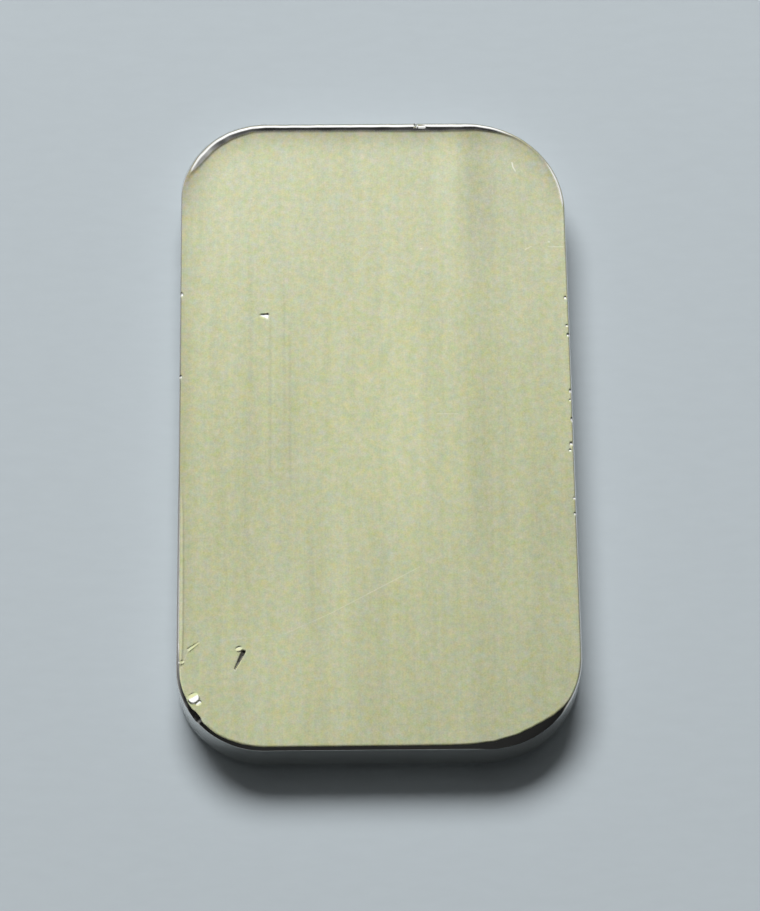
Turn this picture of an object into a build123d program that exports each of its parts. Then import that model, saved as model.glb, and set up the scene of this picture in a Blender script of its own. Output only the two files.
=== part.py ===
"""Minted metal ingot: one flat bar with round corners and rolled edges, lying on its broad face.

X runs across the bar, Y along it and Z up. The origin is the middle of the resting face.
"""
import os
from math import cos, radians, sin

from build123d import *

# Size of the whole bar, in millimetres.
bar_length = 48.8
bar_width = 28.0
bar_thickness = 3.6
corner_radius = 6.1  # outline seen from above, at three corners
wide_corner_radius = 7.4  # at the corner +X +Y, which is cut rounder than the others

# Rolled edges, measured inwards across the face and down the wall alike.
upper_roll = 0.42
lower_roll = 0.5
soft_corner_growth = 1.1  # extra corner radius of the upper face at +X -Y, where the rim is worn broad

# Turns of the upper rim's surface at which its outline is drawn, from the wall to the face, in degrees.
rim_turns = (0, 22.5, 45, 67.5, 90)


def bar_outline(inset_share):
    """The bar's outline seen from above: full size at 0, and drawn in by the whole upper roll at 1."""
    inset = upper_roll * inset_share
    width = bar_width - 2 * inset
    length = bar_length - 2 * inset
    soft_corner = (width / 2, -length / 2)
    wide_corner = (width / 2, length / 2)

    outline = Rectangle(width, length)
    outline = fillet(outline.vertices().group_by(Axis.X)[0], corner_radius - inset)
    outline = fillet(outline.vertices().sort_by_distance(wide_corner)[0], wide_corner_radius - inset)
    soft_radius = corner_radius - inset + soft_corner_growth * inset_share
    return fillet(outline.vertices().sort_by_distance(soft_corner)[0], soft_radius)


def rim_section(turn):
    """The upper rim's outline where its surface has turned this far from the wall towards the face."""
    inset_share = 1 - cos(radians(turn))
    level = bar_thickness - upper_roll * (1 - sin(radians(turn)))
    return Pos(0, 0, level) * bar_outline(inset_share)


def upper_rim():
    """The rolled rim: a loft through the outlines that draw in towards the flat upper face."""
    return loft([rim_section(turn) for turn in rim_turns])


def bar_body():
    """The straight wall from the resting face to the upper rim, with the lower rim rounded."""
    body = extrude(bar_outline(0), amount=bar_thickness - upper_roll)
    lower_rim = body.faces().sort_by(Axis.Z)[0].edges()
    return fillet(lower_rim, lower_roll)


ingot = bar_body() + upper_rim()
ingot.label = "ingot"
os.makedirs("parts", exist_ok=True)
export_step(ingot, "parts/ingot.step")
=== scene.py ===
"""Minted silver ingot on plain paper: the bar's rim, wear and brushed finish, and a soft studio round it."""
import math

import bmesh
import bpy
from bpy.props import FloatProperty, FloatVectorProperty, IntProperty, PointerProperty
from mathutils import Matrix, Vector


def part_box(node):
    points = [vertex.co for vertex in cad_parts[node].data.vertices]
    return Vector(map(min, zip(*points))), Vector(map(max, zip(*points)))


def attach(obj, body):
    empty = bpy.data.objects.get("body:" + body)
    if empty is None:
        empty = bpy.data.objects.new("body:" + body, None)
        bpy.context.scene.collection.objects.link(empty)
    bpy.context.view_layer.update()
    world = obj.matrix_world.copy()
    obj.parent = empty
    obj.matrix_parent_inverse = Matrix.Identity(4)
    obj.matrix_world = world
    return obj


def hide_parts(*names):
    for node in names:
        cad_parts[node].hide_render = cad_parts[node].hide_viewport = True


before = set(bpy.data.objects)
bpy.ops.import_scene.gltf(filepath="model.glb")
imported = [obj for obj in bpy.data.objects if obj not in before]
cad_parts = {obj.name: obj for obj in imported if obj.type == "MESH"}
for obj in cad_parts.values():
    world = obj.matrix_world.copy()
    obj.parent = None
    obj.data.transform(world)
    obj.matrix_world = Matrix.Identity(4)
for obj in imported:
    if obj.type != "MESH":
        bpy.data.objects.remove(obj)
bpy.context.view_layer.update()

INGOT_LOW, INGOT_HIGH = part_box("ingot")

bl_info = {
    "name": "Minted ingot",
    "version": (1, 0, 0),
    "blender": (4, 5, 0),
    "location": "3D View > Sidebar > Ingot",
    "description": "Models a small minted silver bar with a worn rim and a brushed face",
    "category": "Object",
}

MM = 0.001  # metres in a millimetre
MERGE = 1e-7  # metres between two points that are one


# Sizes, finish and light that a user would change

class IngotSizes(bpy.types.PropertyGroup):
    """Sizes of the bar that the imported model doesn't name."""

    corner_radius: FloatProperty(
        name="Corner radius", description="Radius of the outline's two left corners, seen from above",
        default=6.1 * MM, min=MM, unit="LENGTH")
    wide_corner_radius: FloatProperty(
        name="Wide corner radius", description="Radius of the far right corner, which is cut rounder",
        default=7.4 * MM, min=MM, unit="LENGTH")
    worn_corner_radius: FloatProperty(
        name="Worn corner radius", description="Radius of the near right corner, which is worn",
        default=6.8 * MM, min=MM, unit="LENGTH")
    upper_roll: FloatProperty(
        name="Upper roll", description="Radius of the rolled edge round the upper face",
        default=0.42 * MM, min=0.05 * MM, unit="LENGTH")
    lower_roll: FloatProperty(
        name="Lower roll", description="Radius of the rolled edge round the resting face",
        default=0.5 * MM, min=0.05 * MM, unit="LENGTH")
    lip_height: FloatProperty(
        name="Lip height",
        description="How far the level face lies below the bar's full height, which leaves room for the lip",
        default=0.13 * MM, min=0.0, unit="LENGTH")
    corner_steps: IntProperty(
        name="Corner steps", description="Flat steps that make up the arc of one corner", default=40, min=8)


class SilverFinish(bpy.types.PropertyGroup):
    """Colour and gloss of the silver."""

    silver: FloatVectorProperty(
        name="Silver", description="Colour of the toned, brushed face", subtype="COLOR", size=3,
        min=0.0, max=1.0, default=(0.656, 0.681, 0.434))
    bare_silver: FloatVectorProperty(
        name="Bare silver", description="Colour of the rolled edges, walls and dents",
        subtype="COLOR", size=3, min=0.0, max=1.0, default=(0.82, 0.825, 0.8))
    face_roughness: FloatProperty(
        name="Face roughness", description="Roughness of the satin face", subtype="FACTOR",
        default=0.3, min=0.0, max=1.0)
    rim_roughness: FloatProperty(
        name="Rim roughness", description="Roughness of the rolled edges, walls and dents", subtype="FACTOR",
        default=0.12, min=0.0, max=1.0)


class StudioLook(bpy.types.PropertyGroup):
    """Paper and light of the stage."""

    paper: FloatVectorProperty(
        name="Paper", description="Colour of the sheet that the bar lies on", subtype="COLOR", size=3,
        min=0.0, max=1.0, default=(0.545, 0.605, 0.64))
    lamp_power: FloatProperty(
        name="Lamp power", description="Power of the soft lamp", unit="POWER", default=15.7, min=0.0)
    glow_power: FloatProperty(
        name="Glow power", description="Power of the wide glow above the soft lamp", unit="POWER",
        default=1.8, min=0.0)
    shade_light: FloatProperty(
        name="Shade light", description="Brightness of the room in the shadows", default=0.011, min=0.0)
    bright_side: FloatProperty(
        name="Bright side", description="Brightness of the window side that the metal mirrors",
        default=1.75, min=0.0)


# Shader maths

def plug(slot, value):
    """Links a wire to a socket, or sets the socket to a plain value."""
    if isinstance(value, Wire):
        slot.id_data.links.new(value.socket, slot)
    else:
        slot.default_value = value


class Wire:
    """One socket of a node tree. Python's operators on it add Math nodes."""

    def __init__(self, socket):
        self.socket = socket

    def math(self, operation, *values):
        """Adds a Math node with these values in turn, and returns its result."""
        node = self.socket.id_data.nodes.new("ShaderNodeMath")
        node.operation = operation
        for slot, value in zip(node.inputs, values):
            plug(slot, value)
        return Wire(node.outputs[0])

    def __add__(self, other):
        return self.math("ADD", self, other)

    def __radd__(self, other):
        return self.math("ADD", other, self)

    def __sub__(self, other):
        return self.math("SUBTRACT", self, other)

    def __rsub__(self, other):
        return self.math("SUBTRACT", other, self)

    def __mul__(self, other):
        return self.math("MULTIPLY", self, other)

    def __rmul__(self, other):
        return self.math("MULTIPLY", other, self)

    def __truediv__(self, other):
        return self.math("DIVIDE", self, other)

    def __rtruediv__(self, other):
        return self.math("DIVIDE", other, self)

    def __abs__(self):
        return self.math("ABSOLUTE", self)

    def least(self, other):
        """The smaller of the two."""
        return self.math("MINIMUM", self, other)

    def most(self, other):
        """The larger of the two."""
        return self.math("MAXIMUM", self, other)

    def root(self):
        """The square root."""
        return self.math("SQRT", self)

    def between(self, low, high):
        """0 at low, 1 at high, and a smooth step from one to the other; low may be the larger."""
        share = ((self - low) / (high - low)).most(0.0).least(1.0)
        return share * share * (3.0 - 2.0 * share)


class NodeSheet:
    """A node tree that is filled one node at a time."""

    def __init__(self, tree):
        self.tree = tree
        tree.nodes.clear()

    def node(self, kind, settings=None, sockets=None, out=0):
        """Adds a node: its settings first, then the values or links of its sockets."""
        node = self.tree.nodes.new(kind)
        for name, value in (settings or {}).items():
            if name == "stops":
                ramp = node.color_ramp.elements
                while len(ramp) < len(value):
                    ramp.new(0.5)
                for element, (position, colour) in zip(ramp, value):
                    element.position = position
                    element.color = colour
            else:
                setattr(node, name, value)
        for name, value in (sockets or {}).items():
            plug(node.inputs[name], value)
        return Wire(node.outputs[out]) if node.outputs else node

    def mix(self, share, first, second):
        """A colour that goes from the first to the second; each is a wire or three numbers."""
        first, second = (c if isinstance(c, Wire) else (*c, 1.0) for c in (first, second))
        return self.node("ShaderNodeMix", {"data_type": "RGBA"}, {0: share, 6: first, 7: second}, out=2)

    def millimetres(self):
        """The place on the piece in millimetres."""
        metres = self.node("ShaderNodeTexCoord", out="Object")
        return self.node("ShaderNodeVectorMath", {"operation": "SCALE"}, {0: metres, "Scale": 1 / MM})

    def parts(self, vector):
        """The three numbers of a vector."""
        first_part = self.node("ShaderNodeSeparateXYZ", None, {0: vector})
        return [Wire(socket) for socket in first_part.socket.node.outputs]

    def noise(self, place, scale, detail=2.0, roughness=0.5, out=0):
        """Soft noise from 0 to 1 with this many bumps to the millimetre, at a place in millimetres."""
        return self.node("ShaderNodeTexNoise", None,
                         {"Vector": place, "Scale": scale, "Detail": detail, "Roughness": roughness}, out)

    def stretched(self, place, stretch):
        """A place drawn out along each axis, for grain that runs one way."""
        return self.node("ShaderNodeVectorMath", {"operation": "MULTIPLY"}, {0: place, 1: stretch})


def new_material(name):
    """A material with an empty node tree, and the sheet that fills it."""
    material = bpy.data.materials.new(name)
    material.use_nodes = True
    return material, NodeSheet(material.node_tree)


# Modelling by hand

def deselect_all():
    bpy.ops.object.select_all(action="DESELECT")


def start_edit(piece):
    deselect_all()
    bpy.context.view_layer.objects.active = piece
    piece.select_set(True)
    bpy.ops.object.mode_set(mode="EDIT")


def end_edit():
    bpy.ops.object.mode_set(mode="OBJECT")


def pick(piece, kind, test):
    """Selects the faces or edges that pass a test, and nothing else. Returns how many there are."""
    bpy.ops.mesh.select_mode(type="FACE" if kind == "faces" else "EDGE")
    bpy.ops.mesh.select_all(action="DESELECT")
    net = bmesh.from_edit_mesh(piece.data)
    chosen = [element for element in getattr(net, kind) if test(element)]
    for element in chosen:
        element.select_set(True)
    net.select_flush_mode()
    bmesh.update_edit_mesh(piece.data, loop_triangles=False, destructive=False)
    return len(chosen)


def cut(axis, place):
    """Cuts the selected faces along a plane across an axis."""
    point, normal = [0.0, 0.0, 0.0], [0.0, 0.0, 0.0]
    point[axis], normal[axis] = place, 1.0
    bpy.ops.mesh.bisect(plane_co=point, plane_no=normal, threshold=MERGE)


def steps(low, high, spacing):
    """Places between two ends, about this far apart."""
    count = max(1, round((high - low) / spacing))
    return [low + (high - low) * i / count for i in range(count + 1)]


# The bar

# The upper rim, all round. Each row gives about how far round the outline it lies from the middle of the far
# end (clockwise seen from above, so the left side is below zero), the roll's reach across the face and down
# the wall, the share of the roll that is worn flat, the height of the raised lip, the width of its inner
# slope, how that slope bends (over 1 it flattens towards the face), and the height of the face's own rise
# towards the lip. Lengths are in millimetres.
RIM = (
    (-71.6, 0.29, 0.12, 0.8, 0.000, 0.20, 1.0, 0.000),  # middle of the near end
    (-64.5, 0.29, 0.12, 0.8, 0.000, 0.20, 1.0, 0.000),
    (-62.0, 0.31, 0.13, 0.8, 0.000, 0.20, 1.0, 0.000),  # near left corner
    (-60.5, 0.27, 0.12, 0.8, 0.000, 0.20, 1.0, 0.000),
    (-58.7, 0.28, 0.15, 0.8, 0.000, 0.20, 1.0, 0.000),
    (-58.3, 0.39, 0.23, 0.9, 0.000, 0.20, 1.0, 0.000),  # notch
    (-58.0, 0.40, 0.24, 0.9, 0.000, 0.20, 1.0, 0.000),
    (-57.4, 0.28, 0.17, 0.9, 0.000, 0.20, 1.0, 0.000),
    (-55.0, 0.24, 0.15, 0.9, 0.000, 0.10, 1.0, 0.000),
    (-53.6, 0.34, 0.14, 0.5, 0.020, 0.10, 1.0, 0.000),  # left side
    (-52.0, 0.42, 0.12, 0.2, 0.030, 0.09, 1.0, 0.000),
    (-46.0, 0.40, 0.12, 0.2, 0.028, 0.09, 1.0, 0.000),
    (-42.0, 0.34, 0.12, 0.2, 0.022, 0.09, 1.0, 0.000),
    (-39.5, 0.16, 0.14, 0.4, 0.000, 0.10, 1.0, 0.000),
    (-18.0, 0.14, 0.14, 0.2, 0.000, 0.20, 1.0, 0.000),
    (-16.8, 0.18, 0.20, 0.0, 0.005, 0.20, 1.0, 0.000),  # far left corner
    (-15.5, 0.30, 0.32, 0.0, 0.030, 0.26, 1.0, 0.000),
    (-14.8, 0.42, 0.40, 0.0, 0.075, 0.36, 1.0, 0.000),
    (-13.6, 0.48, 0.42, 0.0, 0.112, 0.46, 1.0, 0.000),
    (-11.4, 0.48, 0.42, 0.0, 0.110, 0.46, 1.0, 0.004),
    (-9.5, 0.50, 0.42, 0.0, 0.088, 0.40, 1.1, 0.012),
    (-7.5, 0.49, 0.42, 0.0, 0.084, 0.38, 1.4, 0.022),  # far end
    (-1.0, 0.49, 0.42, 0.0, 0.088, 0.40, 1.3, 0.022),
    (4.5, 0.50, 0.42, 0.0, 0.096, 0.44, 1.2, 0.020),
    (6.4, 0.50, 0.42, 0.0, 0.094, 0.41, 1.2, 0.016),
    (7.6, 0.43, 0.42, 0.0, 0.090, 0.37, 1.1, 0.010),  # far right corner
    (8.8, 0.36, 0.40, 0.0, 0.080, 0.32, 1.0, 0.006),
    (9.6, 0.30, 0.34, 0.0, 0.066, 0.27, 1.0, 0.000),
    (10.4, 0.24, 0.28, 0.0, 0.050, 0.21, 1.0, 0.000),
    (11.2, 0.20, 0.24, 0.0, 0.034, 0.17, 1.0, 0.000),
    (12.4, 0.18, 0.18, 0.0, 0.022, 0.14, 1.0, 0.000),
    (13.4, 0.16, 0.16, 0.0, 0.024, 0.14, 1.0, 0.000),
    (14.6, 0.15, 0.14, 0.0, 0.060, 0.21, 1.0, 0.000),
    (17.4, 0.15, 0.14, 0.0, 0.062, 0.21, 1.0, 0.000),
    (18.6, 0.15, 0.14, 0.0, 0.036, 0.14, 1.0, 0.000),  # right side
    (20.6, 0.15, 0.14, 0.0, 0.034, 0.14, 1.0, 0.000),
    (21.4, 0.16, 0.14, 0.0, 0.000, 0.20, 1.0, 0.000),
    (44.0, 0.16, 0.16, 0.0, 0.000, 0.20, 1.0, 0.000),
    (54.6, 0.17, 0.16, 0.2, 0.000, 0.20, 1.0, 0.000),
    (56.2, 0.12, 0.14, 0.6, 0.000, 0.20, 1.0, 0.000),  # near right corner, worn broad
    (57.4, 0.14, 0.14, 0.8, 0.000, 0.20, 1.0, 0.000),
    (58.7, 0.36, 0.18, 0.9, 0.000, 0.20, 1.0, 0.000),
    (60.8, 0.68, 0.22, 0.9, 0.000, 0.20, 1.0, 0.000),
    (62.6, 0.66, 0.20, 0.9, 0.000, 0.20, 1.0, 0.000),
    (64.1, 0.52, 0.17, 0.9, 0.000, 0.20, 1.0, 0.000),
    (65.5, 0.36, 0.14, 0.8, 0.000, 0.20, 1.0, 0.000),
    (67.0, 0.31, 0.12, 0.8, 0.000, 0.20, 1.0, 0.000),
    (71.6, 0.29, 0.12, 0.8, 0.000, 0.20, 1.0, 0.000),
)
RISE_REACH = 1.8  # millimetres over which the face rises towards the lip
RIM_REACH = 3.2  # millimetres in from the outline that the rim's own shape reaches
# Unevenness of a rim that wasn't machined: its share, two rates in radians to the millimetre, and the start
# of the second.
ROLL_RIPPLE = (0.05, 5.1, 1.3, 0.4)
LIP_WAVE = (0.1, 2.3, 0.71, 1.0)

# Marks of wear: place across and along, half length, half width, turn in degrees, height (pressed in where
# it is below zero), lean (where the deepest line lies across the mark, from -1 to 1), taper of the width
# along it, and 1 for a round mark or 0 for one with straight sides. Lengths are in millimetres.
MARKS = (
    # pit in the face
    (-7.96, 8.52, 0.38, 0.27, -8.0, -0.085, 0.8, 0.6, 0),
    # gouge, and the bright facet at its end
    (-9.68, -17.82, 0.84, 0.18, 65.0, -0.085, -0.9, 0.5, 0),
    (-9.68, -17.0, 0.28, 0.2, 20.0, -0.032, 0.85, 0.0, 1),
    (-9.68, -17.0, 0.28, 0.2, 20.0, 0.032, -0.85, 0.0, 1),
    # dent at the near left corner, mostly thrown up, its tail, and the scuffed floor of the rim's notch
    (-12.78, -20.58, 0.44, 0.42, 30.0, 0.12, -0.85, 0.0, 1),
    (-12.78, -20.58, 0.44, 0.42, 30.0, -0.025, 0.85, 0.0, 1),
    (-12.43, -20.93, 0.24, 0.18, 30.0, -0.05, 0.8, 0.0, 1),
    (-12.52, -21.86, 0.5, 0.3, -52.0, -0.012, -0.75, 0.0, 1),
    # start of the scrape at the left edge
    (-13.62, -17.96, 0.24, 0.15, 20.0, -0.022, 0.85, 0.0, 1),
    (-13.62, -17.96, 0.24, 0.15, 20.0, 0.022, -0.85, 0.0, 1),
    (-12.8, -16.78, 0.54, 0.15, 37.0, -0.03, 0.8, -0.4, 0),
    (-12.8, -16.78, 0.54, 0.15, 37.0, 0.026, -0.8, -0.4, 0),
    # nicks of the left edge
    (-13.88, 10.28, 0.14, 0.2, 0.0, -0.06, 0.75, 0.0, 1),
    (-13.88, 3.75, 0.1, 0.15, 0.0, -0.05, 0.75, 0.0, 1),
    # nicks of the far edge
    (3.2, 24.05, 0.26, 0.12, 90.0, -0.16, 0.6, 0.0, 0),
    (3.66, 23.92, 0.3, 0.16, 0.0, -0.05, 0.5, 0.0, 0),
    # nicks of the right edge
    (13.76, 9.8, 0.11, 0.16, 0.0, -0.045, 0.65, 0.0, 1),
    (13.8, 7.57, 0.1, 0.12, 0.0, -0.05, 0.75, 0.0, 1),
    (13.86, 6.82, 0.11, 0.15, 0.0, -0.06, 0.7, 0.0, 1),
    (13.86, 2.38, 0.09, 0.2, 0.0, -0.05, 0.75, 0.0, 1),
    (13.82, 1.68, 0.08, 0.12, 0.0, -0.04, 0.75, 0.0, 1),
    (13.88, 0.12, 0.08, 0.24, 0.0, -0.05, 0.75, 0.0, 1),
    (13.78, -1.74, 0.13, 0.2, 0.0, -0.06, 0.75, 0.2, 1),
    (13.7, -2.22, 0.1, 0.1, 0.0, -0.05, 0.75, 0.0, 1),
    (13.86, -5.92, 0.09, 0.12, 0.0, -0.05, 0.75, 0.0, 1),
    (13.86, -7.12, 0.09, 0.14, 0.0, -0.04, 0.75, 0.0, 1),
)
MARK_CELL = 0.35  # millimetres across the cells that a mark is cut into
MARK_MARGIN = 0.06  # millimetres round a mark that are cut finely with it
MARK_CUTS = 5  # finer cuts of each cell
MARK_END = 0.22  # share of a mark over which it runs out at its ends


class Outline:
    """The bar's rounded outline in millimetres, seen from above."""

    def __init__(self, half_width, half_length, radius, wide_radius, worn_radius):
        self.half_width = half_width
        self.half_length = half_length
        self.radius = radius
        self.wide_radius = wide_radius
        self.worn_radius = worn_radius

    def corner(self, x, y):
        """The nearest corner's radius, and how far past its middle a point lies across and along."""
        radius = self.radius
        if x > 0:
            radius = self.wide_radius if y > 0 else self.worn_radius
        return radius, abs(x) - self.half_width + radius, abs(y) - self.half_length + radius

    def depth(self, x, y):
        """How far inside the outline a point lies."""
        radius, across, along = self.corner(x, y)
        outside = math.hypot(max(across, 0.0), max(along, 0.0))
        return radius - outside - min(max(across, along), 0.0)

    def station(self, x, y):
        """How far round the outline a point near it lies, clockwise from the middle of the far end."""
        radius, across, along = self.corner(x, y)
        straight = self.half_width - radius
        if along > 0 and across > 0:
            far_half = straight + radius * math.atan2(across, along)
        elif along > across:
            far_half = abs(x)
        else:
            far_half = straight + radius * math.pi / 2 - along
        whole_half = 2 * (self.half_width + self.half_length + (math.pi / 2 - 2) * self.radius)
        return math.copysign(far_half if y >= 0 else whole_half - far_half, x)


def rim_change(row, column):
    """How fast a measure of the rim changes at a row: not at all where it turns round."""
    if row in (0, len(RIM) - 1):
        return 0.0
    before, after = (
        (RIM[i + 1][column] - RIM[i][column]) / (RIM[i + 1][0] - RIM[i][0]) for i in (row - 1, row))
    return 2 * before * after / (before + after) if before * after > 0 else 0.0


def rim_between(row, column, share):
    """A measure of the rim between a row and the next, on a smooth curve that doesn't overshoot."""
    run = RIM[row + 1][0] - RIM[row][0]
    first, last = RIM[row][column], RIM[row + 1][column]
    bow = (1 - share) * rim_change(row, column) - share * rim_change(row + 1, column)
    return first + (last - first) * share * share * (3 - 2 * share) + run * share * (1 - share) * bow


def uneven(station, wave):
    """What a measure of the rim is multiplied by there to make it uneven."""
    share, quick, slow, start = wave
    return 1 + share * (math.sin(station * quick) * math.sin(station * slow + start))


def rim_at(station):
    """The rim's measures there, with the uneven roll and lip of a rim that wasn't machined."""
    for row, (before, after) in enumerate(zip(RIM, RIM[1:])):
        if before[0] <= station <= after[0]:
            share = (station - before[0]) / (after[0] - before[0])
            measures = [rim_between(row, column, share) for column in range(1, len(before))]
            across, down, flat, lip, slope, bend, rise = measures
            across *= uneven(station, ROLL_RIPPLE)
            lip *= uneven(station, LIP_WAVE)
            return across, down, flat, lip, slope, bend, rise
    return RIM[0][1:]


def mark_height(mark, x, y):
    """Height of one mark of wear at a place on the bar."""
    middle_x, middle_y, half_length, half_width, turn, height, lean, taper, is_round = mark
    turn = math.radians(turn)
    along = ((x - middle_x) * math.cos(turn) + (y - middle_y) * math.sin(turn)) / half_length
    width = half_width * (1 + taper * along) / (1 + abs(taper))
    if abs(along) >= 1 or width <= 0:
        return 0.0
    across = ((y - middle_y) * math.cos(turn) - (x - middle_x) * math.sin(turn)) / width
    if abs(across) >= 1:
        return 0.0
    rise = (across + 1) / (lean + 1) if across < lean else (1 - across) / (1 - lean)
    inside = 1 - (math.hypot(along, across) if is_round else abs(along))
    return height * rise * min(1.0, max(0.0, inside) / MARK_END) * width / half_width


def mark_box(mark, margin):
    """Lowest and highest corner of a mark seen from above."""
    middle_x, middle_y, half_length, half_width, turn = mark[:5]
    cos_turn, sin_turn = abs(math.cos(math.radians(turn))), abs(math.sin(math.radians(turn)))
    reach_x = half_length * cos_turn + half_width * sin_turn + margin
    reach_y = half_length * sin_turn + half_width * cos_turn + margin
    return (middle_x - reach_x, middle_y - reach_y), (middle_x + reach_x, middle_y + reach_y)


class BarModel:
    """Models the bar in edit mode, from a cube to the worn piece."""

    ROLL_STEPS = 8
    LOWER_ROLL_STEPS = 6
    NEAR = 0.01 * MM  # within this a point lies on a level
    CORNER_ANGLE = math.radians(80)  # a corner's edge is sharper than this
    SMOOTH_ANGLE = math.radians(50)  # an edge that is sharper than this stays sharp in the shading
    STRAIGHT_STEP = 0.4  # millimetres between cuts across the straight sides
    BRACE = 0.03  # millimetres from the roll down to the cut that keeps the wall's shading flat
    # millimetres in from the roll
    RIM_RINGS = (0.05, 0.1, 0.15, 0.2, 0.25, 0.3, 0.36, 0.44, 0.5, 0.56, 0.64, 0.8, 1.0, 1.3, 1.8, 2.4)

    def __init__(self, sizes, low, high):
        self.low, self.high = low, high
        self.sizes = sizes
        self.face_level = high.z - sizes.lip_height
        self.wall_top = self.face_level - sizes.upper_roll
        self.outline = Outline(
            high.x / MM, high.y / MM, sizes.corner_radius / MM, sizes.wide_corner_radius / MM,
            sizes.worn_corner_radius / MM)

    def block(self):
        """A block as wide and long as the bar and as high as its straight wall."""
        middle = (self.low + self.high) / 2
        span = self.high - self.low
        deselect_all()
        bpy.ops.mesh.primitive_cube_add(
            size=1, location=(middle.x, middle.y, (self.low.z + self.wall_top) / 2),
            scale=(span.x, span.y, self.wall_top - self.low.z))
        self.piece = bpy.context.object
        self.piece.name = "ingot_bar"
        bpy.ops.object.transform_apply(location=True, rotation=True, scale=True)

    def round_corners(self):
        """The four upright edges become round corners, and the lower rim is rolled."""
        def corner_edge(edge, side_x, side_y):
            foot, top = (v.co for v in edge.verts)
            upright = abs(foot.z - top.z) > self.NEAR and edge.calc_face_angle() > self.CORNER_ANGLE
            return upright and foot.x * side_x > 0 and foot.y * side_y > 0

        sizes = self.sizes
        for side_x, side_y, radius in ((1, 1, sizes.wide_corner_radius), (1, -1, sizes.worn_corner_radius),
                                       (-1, 1, sizes.corner_radius), (-1, -1, sizes.corner_radius)):
            if pick(self.piece, "edges", lambda e: corner_edge(e, side_x, side_y)) != 1:
                raise RuntimeError("the block has other upright edges than its four corners")
            bpy.ops.mesh.bevel(offset=radius, offset_type="OFFSET", segments=sizes.corner_steps,
                               profile=0.5, affect="EDGES")
        pick(self.piece, "edges", lambda e: all(v.co.z < self.low.z + self.NEAR for v in e.verts))
        bpy.ops.mesh.bevel(offset=sizes.lower_roll, offset_type="OFFSET", segments=self.LOWER_ROLL_STEPS,
                           profile=0.5, affect="EDGES")

    def roll_upper_rim(self):
        """The upper face is drawn in and up step by step, and then in along the level for the rim's rings."""
        def upper(face):
            return face.normal.z > 0.99 and face.calc_center_median().z > self.wall_top - self.NEAR

        bpy.ops.mesh.select_all(action="SELECT")
        cut(2, self.wall_top - self.BRACE * MM)
        if pick(self.piece, "faces", upper) != 1:
            raise RuntimeError("the upper face of the block isn't one face")
        roll = self.sizes.upper_roll
        inset_before = rise_before = 0.0
        for step in range(1, self.ROLL_STEPS + 1):
            turn = math.pi / 2 * step / self.ROLL_STEPS
            inset, rise = roll * (1 - math.cos(turn)), roll * math.sin(turn)
            bpy.ops.mesh.inset(thickness=inset - inset_before, depth=rise - rise_before, use_even_offset=True)
            inset_before, rise_before = inset, rise
        ring_before = 0.0
        for ring in self.RIM_RINGS:
            bpy.ops.mesh.inset(thickness=(ring - ring_before) * MM, depth=0.0, use_even_offset=True)
            ring_before = ring

    def cut_straight_sides(self):
        """Cuts across the straight sides and the face, so that the rim can rise and fall along them."""
        for axis, half in ((0, self.outline.half_width), (1, self.outline.half_length)):
            reach = half - self.outline.radius
            for place in steps(-reach, reach, self.STRAIGHT_STEP):
                bpy.ops.mesh.select_all(action="SELECT")
                cut(axis, place * MM)

    def cut_marks(self):
        """Cuts the upper face and rim finely where a mark of wear lies."""
        boxes = [mark_box(mark, MARK_MARGIN) for mark in MARKS]

        def on_top(face):
            return face.calc_center_median().z > self.wall_top

        def touches(face, low, high):
            if not on_top(face):
                return False
            spans = [[v.co[axis] / MM for v in face.verts] for axis in (0, 1)]
            return all(min(spans[axis]) < high[axis] and max(spans[axis]) > low[axis] for axis in (0, 1))

        def within(face, low, high):
            middle = face.calc_center_median() / MM
            return low[0] < middle.x < high[0] and low[1] < middle.y < high[1]

        for low, high in boxes:
            for axis in (0, 1):
                for place in steps(low[axis], high[axis], MARK_CELL):
                    if pick(self.piece, "faces", lambda f: touches(f, low, high)):
                        cut(axis, place * MM)

        def marked(face):
            return on_top(face) and any(within(face, *box) for box in boxes)

        if pick(self.piece, "faces", lambda f: marked(f) and len(f.verts) > 4):
            bpy.ops.mesh.quads_convert_to_tris(quad_method="BEAUTY", ngon_method="BEAUTY")
        if not pick(self.piece, "faces", marked):
            raise RuntimeError("the marks of wear lie off the bar")
        bpy.ops.mesh.subdivide(number_cuts=MARK_CUTS)

    def wear(self):
        """Raises the lip and the burrs, and presses in the dents and the worn corner."""
        raised, pressed = {}, {}
        for vertex in self.piece.data.vertices:
            if vertex.co.z < self.wall_top - 1.5 * self.BRACE * MM:
                continue
            x, y = vertex.co.x / MM, vertex.co.y / MM
            height = self.rim_height(x, y) - (max(vertex.co.z, self.wall_top) - self.face_level) / MM
            heights = [mark_height(mark, x, y) for mark in MARKS]
            height += max(0.0, max(heights)) + min(0.0, min(heights))
            if height > 0:
                raised[vertex.index] = height * MM
            elif height < 0:
                pressed[vertex.index] = -height * MM
        self.shift("raised", raised, 1.0)
        self.shift("pressed", pressed, -1.0)

    def shift(self, name, amounts, way):
        """Moves points up or down by their own amounts, through a vertex group and a Displace modifier."""
        if not amounts:
            return
        most = max(amounts.values())
        group = self.piece.vertex_groups.new(name=name)
        for index, amount in amounts.items():
            group.add([index], amount / most, "REPLACE")
        modifier = self.piece.modifiers.new(name, "DISPLACE")
        modifier.direction = "Z"
        modifier.mid_level = 0.0
        modifier.strength = way * most
        modifier.vertex_group = name
        bpy.ops.object.modifier_apply(modifier=name)
        self.piece.vertex_groups.remove(self.piece.vertex_groups[name])

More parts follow.
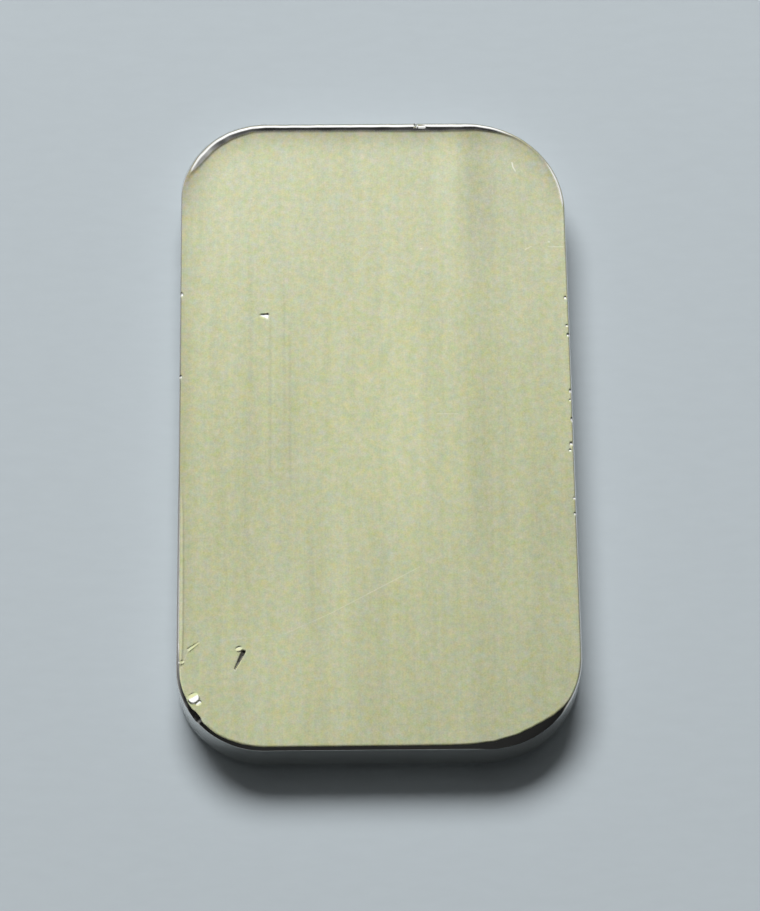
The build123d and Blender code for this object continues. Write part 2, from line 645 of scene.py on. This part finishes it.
    def rim_height(self, x, y):
        """Height over the level face: the roll, the lip's crest and its inner slope, then the face."""
        depth = self.outline.depth(x, y)
        if depth > RIM_REACH:
            return 0.0
        across, down, flat, lip, slope, bend, rise = rim_at(self.outline.station(x, y))
        if depth < across:
            share = max(depth, 0.0) / across
            round_fall = 1 - math.sqrt(max(0.0, 1 - (1 - share) ** 2))
            return (lip + rise) * share - down * (round_fall + (1 - share - round_fall) * flat)
        inwards = depth - across
        lip_share = max(0.0, 1 - inwards / slope) ** bend
        return lip * lip_share + rise * max(0.0, 1 - inwards / RISE_REACH) ** 2

    def close(self):
        """Merges doubles, turns every face outwards and shades the piece smooth."""
        start_edit(self.piece)
        bpy.ops.mesh.select_all(action="SELECT")
        bpy.ops.mesh.remove_doubles(threshold=MERGE)
        bpy.ops.mesh.select_all(action="SELECT")
        bpy.ops.mesh.normals_make_consistent(inside=False)
        end_edit()
        bpy.ops.object.shade_smooth_by_angle(angle=self.SMOOTH_ANGLE)

    def build(self):
        self.block()
        start_edit(self.piece)
        self.round_corners()
        self.roll_upper_rim()
        self.cut_marks()
        self.cut_straight_sides()
        end_edit()
        self.wear()
        self.close()
        return self.piece


# The silver

# Fine scratches in the face: two ends in millimetres, half width, and how bright they are.
SCRATCHES = (
    (10.24, 20.88, 10.3, 20.52, 0.075, 1.0),
    (10.3, 20.52, 10.46, 20.2, 0.075, 1.0),
    (11.0, 13.74, 11.42, 13.98, 0.07, 0.8),
    (12.65, 13.95, 13.74, 13.94, 0.05, 0.7),
    (12.70, 14.35, 12.78, 14.35, 0.07, 0.8),
    (3.38, 13.86, 3.5, 13.86, 0.07, 0.6),
    (4.33, 0.7, 5.82, 0.69, 0.045, 0.7),
    (6.0, -11.33, 6.08, -11.33, 0.07, 0.6),
    (-13.52, -17.97, -13.18, -17.09, 0.05, 0.4),
    (-12.29, -16.51, -6.5, -15.9, 0.045, 0.22),
    (-6.5, -15.9, -3.38, -14.45, 0.045, 0.4),
    (-3.38, -14.45, 2.91, -11.0, 0.05, 0.5),
)
SCRATCH_COLOUR = (0.95, 0.95, 0.85)
# Painted shade along the gouge: two ends in millimetres and half width.
GOUGE_SHADE = (-9.4, -17.2, -10.0, -18.45, 0.4)
# Colour of the painted shade in the gouge and the pit.
RECESS_SHADE_COLOUR = (0.09, 0.088, 0.065)
# Dark streaks of the brushing: place across, two ends along, half width, and how dark they are.
STREAKS = (
    (-7.5, 8.5, -4.8, 0.2, 0.6),
    (-6.1, 7.6, -4.2, 0.18, 0.5),
    (-8.9, 13.0, 2.2, 0.24, 0.35),
    (-6.5, 11.5, -1.0, 0.16, 0.3),
    (-4.6, -7.4, -16.3, 0.24, 0.4),
    (2.4, -13.3, -20.0, 0.16, 0.3),
)
# Heights over the level face, in millimetres, at which the toned finish starts and is full, first from below
# and then from above, and at which the walls' rougher finish does.
TONED_FROM_BELOW = (-0.03, -0.01)
TONED_FROM_ABOVE = (0.05, 0.026)
WALL_FINISH = (-0.2, -0.4)
WALL_ROUGHER = 0.12  # how much rougher the walls are than the rim


def line_mask(x, y, ends, half_width):
    """1 along the middle of a line between two ends, and 0 from its half width outwards."""
    x1, y1, x2, y2 = ends
    run_x, run_y = x2 - x1, y2 - y1
    share = (((x - x1) * run_x + (y - y1) * run_y) / (run_x ** 2 + run_y ** 2)).most(0.0).least(1.0)
    off_x, off_y = x - x1 - share * run_x, y - y1 - share * run_y
    return (off_x * off_x + off_y * off_y).root().between(half_width, 0.3 * half_width)


def silver_material(finish, bar):
    """Brushed silver: satin on the face, brighter and smoother on the rim, walls and dents."""
    material, sheet = new_material("brushed_silver")
    place = sheet.millimetres()
    x, y, z = sheet.parts(place)

    # The toned satin finish is only on the level face; what lies well below or above it is bare and smoother.
    over = z - bar.face_level / MM
    face = over.between(*TONED_FROM_BELOW) * over.between(*TONED_FROM_ABOVE)
    wall = over.between(*WALL_FINISH)

    # Brushing: grain along the bar in three widths, patches of tone, and the specks of a worn satin face.
    fine = sheet.noise(sheet.stretched(place, (1.0, 0.07, 1.0)), 8.0, 2.0)
    broad = sheet.noise(sheet.stretched(place, (1.0, 0.06, 1.0)), 1.8, 3.0)
    sweep = sheet.noise(sheet.stretched(place, (1.0, 0.06, 1.0)), 0.35, 2.0)
    speck = sheet.noise(place, 9.0, 2.0, 0.6)
    mottle = sheet.noise(place, 2.2, 2.0, 0.6)
    warm, _, yellow = sheet.parts(sheet.noise(place, 2.1, 2.0, 0.7, out="Color"))

    # Tarnish and painted shade along the foot of the rim darken and brown the colour, on the left and most of
    # all at the far end.
    past_x = abs(x) - (bar.outline.half_width - bar.outline.radius)
    past_y = abs(y) - (bar.outline.half_length - bar.outline.radius)
    outside = (past_x.most(0.0) * past_x.most(0.0) + past_y.most(0.0) * past_y.most(0.0)).root()
    depth = bar.outline.radius - outside - past_x.most(past_y).least(0.0)
    left_rim_tarnish_shade = (1.0 - depth / 1.8).most(0.0) * x.between(4.0, -8.0).root() * y.between(-22.0, -17.0)
    far_rim_tarnish_shade = (1.0 - depth / 3.4).most(0.0) * y.between(15.0, 22.0).root()
    tarnish_and_shade = 0.18 * left_rim_tarnish_shade * left_rim_tarnish_shade + 0.46 * far_rim_tarnish_shade * far_rim_tarnish_shade

    # Painted shade in the gouge, and at the bottom of the pit.
    *ends, half_width = GOUGE_SHADE
    gouge_shade = 0.85 * line_mask(x, y, ends, half_width) * over.between(-0.003, -0.012)
    recess_shade = gouge_shade.most(over.between(-0.06, -0.08) * depth.between(1.2, 1.8))

    # Broad bands of the brushing: darker to the right of a line, along the right edge and in a patch on the
    # left, and lighter along the middle and at the near end.
    right_band = x.between(5.4, 7.2) * (y.between(-15.0, -5.0) + x.between(13.0, 8.0) * (
        1.3 * y.between(9.0, 18.0) + 0.7 * y.between(-11.0, -17.0)))
    left_patch = (1.0 - abs(x + 8.5) / 8.0).most(0.0) * (1.0 - abs(y + 1.0) / 16.0).most(0.0)
    near_patch = x.between(5.0, -9.0) * y.between(-9.0, -19.0)
    middle_band = (1.0 - abs(x - 1.6) / 5.5).most(0.0) * (1.0 - abs(y + 1.0) / 12.0).most(0.0)
    right_edge = x.between(9.0, 13.0) * y.between(2.0, -8.0)
    left_band = x.between(-5.4, -4.9) * x.between(-3.2, -4.4) * y.between(-3.0, -7.0)

    dark = None
    for streak_x, start, end, half_width, strength in STREAKS:
        ends = (y - end).between(-1.5, 2.0) * (start - y).between(-1.5, 2.0)
        line = (1.0 - abs(x - streak_x) / half_width).most(0.0) * ends * strength
        dark = line if dark is None else dark + line
    dark = dark * (0.4 + 1.2 * fine)

    bright = None
    for *ends, half_width, strength in SCRATCHES:
        line = line_mask(x, y, ends, half_width) * strength
        bright = line if bright is None else bright.most(line)
    bright = bright * face * (0.3 + 1.3 * mottle)

    grain = 0.1 * (fine - 0.5) + 0.15 * (broad - 0.5) + 0.22 * (sweep - 0.5)
    spots = 0.36 * (speck - 0.5) + 0.22 * (mottle - 0.5)
    bands = (0.05 * middle_band + 0.045 * near_patch - 0.068 * right_band - 0.03 * left_band
             - 0.08 * left_patch - 0.06 * right_edge)
    tone = 1.0 + grain + spots + bands - 0.16 * dark
    # Near the rim the tone is darkened and browned by tarnish and painted shade.
    shade = sheet.node("ShaderNodeCombineXYZ", None, {
        0: tone * (1.0 + 0.4 * (warm - 0.5) - 0.9 * tarnish_and_shade),
        1: tone * (1.0 - tarnish_and_shade),
        # Blue rises towards the far end: a painted reflection of colder light from that side.
        2: tone * (1.0 + 0.85 * (yellow - 0.5) + 0.07 * y.between(2.0, 20.0) - 1.05 * tarnish_and_shade)})
    toned = sheet.node("ShaderNodeVectorMath", {"operation": "MULTIPLY"}, {0: tuple(finish.silver), 1: shade})
    both = sheet.mix(face, tuple(finish.bare_silver), toned)
    scratched = sheet.mix(bright * 0.6, both, SCRATCH_COLOUR)
    # The painted shade darkens the colour in the gouge and at the bottom of the pit.
    colour = sheet.mix(recess_shade, scratched, RECESS_SHADE_COLOUR)

    rough = (finish.rim_roughness + wall * WALL_ROUGHER
             + face * (finish.face_roughness - finish.rim_roughness
                       + 0.08 * (broad - 0.5) + 0.06 * (fine - 0.5)))
    brushing = (fine * 0.6 + broad * 0.4) * face
    bump = sheet.node("ShaderNodeBump", None,
                      {"Strength": 0.12, "Distance": 0.02 * MM, "Height": brushing})

    shader = sheet.node("ShaderNodeBsdfPrincipled", None,
                        {"Metallic": 1.0, "Base Color": colour, "Roughness": rough, "Normal": bump})
    sheet.node("ShaderNodeOutputMaterial", None, {"Surface": shader})
    return material


FEWEST_FACES = 1000  # with fewer than this the modelling has failed


class INGOT_OT_bar(bpy.types.Operator):
    """Models the silver bar with its worn rim, and gives it the brushed finish"""

    bl_idname = "ingot.bar"
    bl_label = "Silver bar"

    def execute(self, context):
        bar = BarModel(context.scene.ingot_sizes, INGOT_LOW, INGOT_HIGH)
        piece = bar.build()
        if len(piece.data.polygons) < FEWEST_FACES:
            raise RuntimeError("the bar's mesh came out too plain")
        piece.data.materials.append(silver_material(context.scene.ingot_finish, bar))
        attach(piece, "root")
        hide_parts("ingot")
        return {"FINISHED"}


# The stage

CAMERA_PLACE = (-3.532, -103.880, 233.015)  # millimetres
CAMERA_RIGHT = (0.99985, -0.01346, 0.01051)
CAMERA_DOWN = (-0.00806, -0.91468, -0.40410)
CAMERA_LENS = 140.38  # millimetres
CAMERA_SENSOR = 36.0  # millimetres
CAMERA_NEAR = 5.0  # millimetres from the camera, within which nothing shows
LAMP_AWAY = 1200.0  # millimetres
PAPER_HALF = 900.0  # millimetres

# Lamps: name, the setting that holds the power, turn from +Y towards +X and rise over the paper in degrees,
# width and height in millimetres.
LAMPS = (
    ("soft_lamp", "lamp_power", -11.5, 48.0, 860.0, 560.0),
    ("ceiling_glow", "glow_power", -12.0, 64.0, 1500.0, 1100.0),
)

# What the metal mirrors, from the near side over the top to the far side: how far a direction leans to the
# far side, from -1 to 1, and its share of the full brightness.
MIRRORED = (
    (-1.0, 0.014), (-0.05, 0.014), (0.08, 0.055), (0.2, 0.25), (0.31, 0.425),
    (0.4, 0.485), (0.48, 0.624), (0.62, 0.69), (1.0, 0.6),
)
# Both sides are dimmer: the lean to a side at which the dimming starts and is full, and how much it takes
# away.
SIDES = (
    (-0.04, -0.5, 0.4), (-0.5, -0.86, 0.33),
    (0.1, 0.6, 0.42), (0.6, 0.86, 0.4),
)
# Windows that the metal mirrors: turn from +Y towards +X and rise in degrees, the angles from its middle at
# which a window starts to fade and is gone, and its brightness.
WINDOWS = (
    (-18.0, 15.0, 30.0, 42.0, 0.24),
    (-64.0, 61.0, 12.0, 17.0, 0.42),
)
# Light low round the room: the heights of a direction at which it starts and is full, and its share.
LOW_LIGHT = (0.6, 0.25, 0.22)


def paper_material(look):
    """Matt paper with a faint fibre."""
    material, sheet = new_material("pale_paper")
    place = sheet.millimetres()
    fibre = sheet.noise(sheet.stretched(place, (0.35, 1.0, 1.0)), 1.3, 4.0, 0.6)
    tone = 0.97 + 0.06 * fibre
    colour = sheet.node("ShaderNodeVectorMath", {"operation": "SCALE"}, {0: tuple(look.paper), "Scale": tone})
    bump = sheet.node("ShaderNodeBump", None, {"Strength": 0.1, "Distance": 0.05 * MM, "Height": fibre})
    shader = sheet.node("ShaderNodeBsdfPrincipled", None,
                        {"Base Color": colour, "Roughness": 0.9, "Specular IOR Level": 0.1, "Normal": bump})
    sheet.node("ShaderNodeOutputMaterial", None, {"Surface": shader})
    return material


def towards(turn, rise):
    """The direction with this turn from +Y towards +X and this rise over the paper, in degrees."""
    turn, rise = math.radians(turn), math.radians(rise)
    return Vector((math.sin(turn) * math.cos(rise), math.cos(turn) * math.cos(rise), math.sin(rise)))


def studio_world(scene, look):
    """A dim even room for the paper, and for the metal a room that is bright on the window's side."""
    world = bpy.data.worlds.new("soft_studio")
    world.use_nodes = True
    scene.world = world
    sheet = NodeSheet(world.node_tree)
    direction = sheet.node("ShaderNodeTexCoord")
    across, along, height = sheet.parts(direction)
    stops = [((lean + 1) / 2, (level, level, level, 1.0)) for lean, level in MIRRORED]
    grey = sheet.node("ShaderNodeValToRGB", {"stops": stops}, {0: (along + 1) / 2})
    level = sheet.node("ShaderNodeSeparateColor", None, {0: grey})
    dimmed = 1.0
    for start, full, loss in SIDES:
        dimmed = dimmed - loss * across.between(start, full)
    start, full, share = LOW_LIGHT
    level = (level * dimmed).most(share * height.between(start, full))
    for turn, rise, start, end, brightness in WINDOWS:
        share = sheet.node("ShaderNodeVectorMath", {"operation": "DOT_PRODUCT"},
                           {0: direction, 1: tuple(towards(turn, rise))}, out="Value")
        level = level + share.between(math.cos(math.radians(end)), math.cos(math.radians(start))) * brightness
    bright = sheet.node("ShaderNodeCombineColor", None, {0: level, 1: level, 2: level})
    mirrored = sheet.node("ShaderNodeBackground", None, {"Color": bright, "Strength": look.bright_side})
    room = sheet.node("ShaderNodeBackground", None,
                      {"Color": (1.0, 1.0, 1.0, 1.0), "Strength": look.shade_light})
    is_glossy = sheet.node("ShaderNodeLightPath", out="Is Glossy Ray")
    both = sheet.node("ShaderNodeMixShader", None, {0: is_glossy, 1: room, 2: mirrored})
    sheet.node("ShaderNodeOutputWorld", None, {"Surface": both})


class INGOT_OT_stage(bpy.types.Operator):
    """Lays the paper, and sets the lamps, the room and the camera"""

    bl_idname = "ingot.stage"
    bl_label = "Paper, light and camera"

    def execute(self, context):
        scene = context.scene
        look = scene.ingot_studio
        deselect_all()
        bpy.ops.mesh.primitive_plane_add(size=2 * PAPER_HALF * MM, location=(0.0, 0.0, INGOT_LOW.z))
        paper = context.object
        paper.name = "paper"
        paper.data.materials.append(paper_material(look))

        for name, power, turn, rise, width, height in LAMPS:
            away = towards(turn, rise)
            bpy.ops.object.light_add(type="AREA", location=away * LAMP_AWAY * MM)
            lamp = context.object
            lamp.name = name
            lamp.rotation_euler = away.to_track_quat("Z", "Y").to_euler()
            lamp.data.shape = "ELLIPSE"
            lamp.data.size = width * MM
            lamp.data.size_y = height * MM
            lamp.data.energy = getattr(look, power)
            lamp.visible_glossy = False
        studio_world(scene, look)

        right, down = Vector(CAMERA_RIGHT).normalized(), Vector(CAMERA_DOWN)
        back = right.cross(-down).normalized()
        up = back.cross(right)
        turned = Matrix((right, up, back)).transposed()
        bpy.ops.object.camera_add(location=Vector(CAMERA_PLACE) * MM, rotation=turned.to_euler())
        camera = context.object
        camera.name = "photo_camera"
        camera.data.sensor_width = CAMERA_SENSOR
        camera.data.lens = CAMERA_LENS
        camera.data.clip_start = CAMERA_NEAR * MM
        camera.data.dof.use_dof = False
        scene.camera = camera
        scene.view_settings.view_transform = "Standard"
        return {"FINISHED"}


class INGOT_PT_panel(bpy.types.Panel):
    """Lists the pieces and their settings"""

    bl_label = "Minted ingot"
    bl_idname = "INGOT_PT_panel"
    bl_space_type = "VIEW_3D"
    bl_region_type = "UI"
    bl_category = "Ingot"

    def draw(self, context):
        pieces = (("ingot_sizes", None), ("ingot_finish", INGOT_OT_bar), ("ingot_studio", INGOT_OT_stage))
        for group, operator in pieces:
            settings = getattr(context.scene, group)
            for name in settings.__annotations__:
                self.layout.prop(settings, name)
            if operator:
                self.layout.operator(operator.bl_idname)


CLASSES = (IngotSizes, SilverFinish, StudioLook, INGOT_OT_bar, INGOT_OT_stage, INGOT_PT_panel)


def register():
    for cls in CLASSES:
        bpy.utils.register_class(cls)
    bpy.types.Scene.ingot_sizes = PointerProperty(type=IngotSizes)
    bpy.types.Scene.ingot_finish = PointerProperty(type=SilverFinish)
    bpy.types.Scene.ingot_studio = PointerProperty(type=StudioLook)


def unregister():
    del bpy.types.Scene.ingot_sizes
    del bpy.types.Scene.ingot_finish
    del bpy.types.Scene.ingot_studio
    for cls in reversed(CLASSES):
        bpy.utils.unregister_class(cls)


def main():
    register()
    bpy.ops.ingot.bar()
    bpy.ops.ingot.stage()


if __name__ == "__main__":
    main()
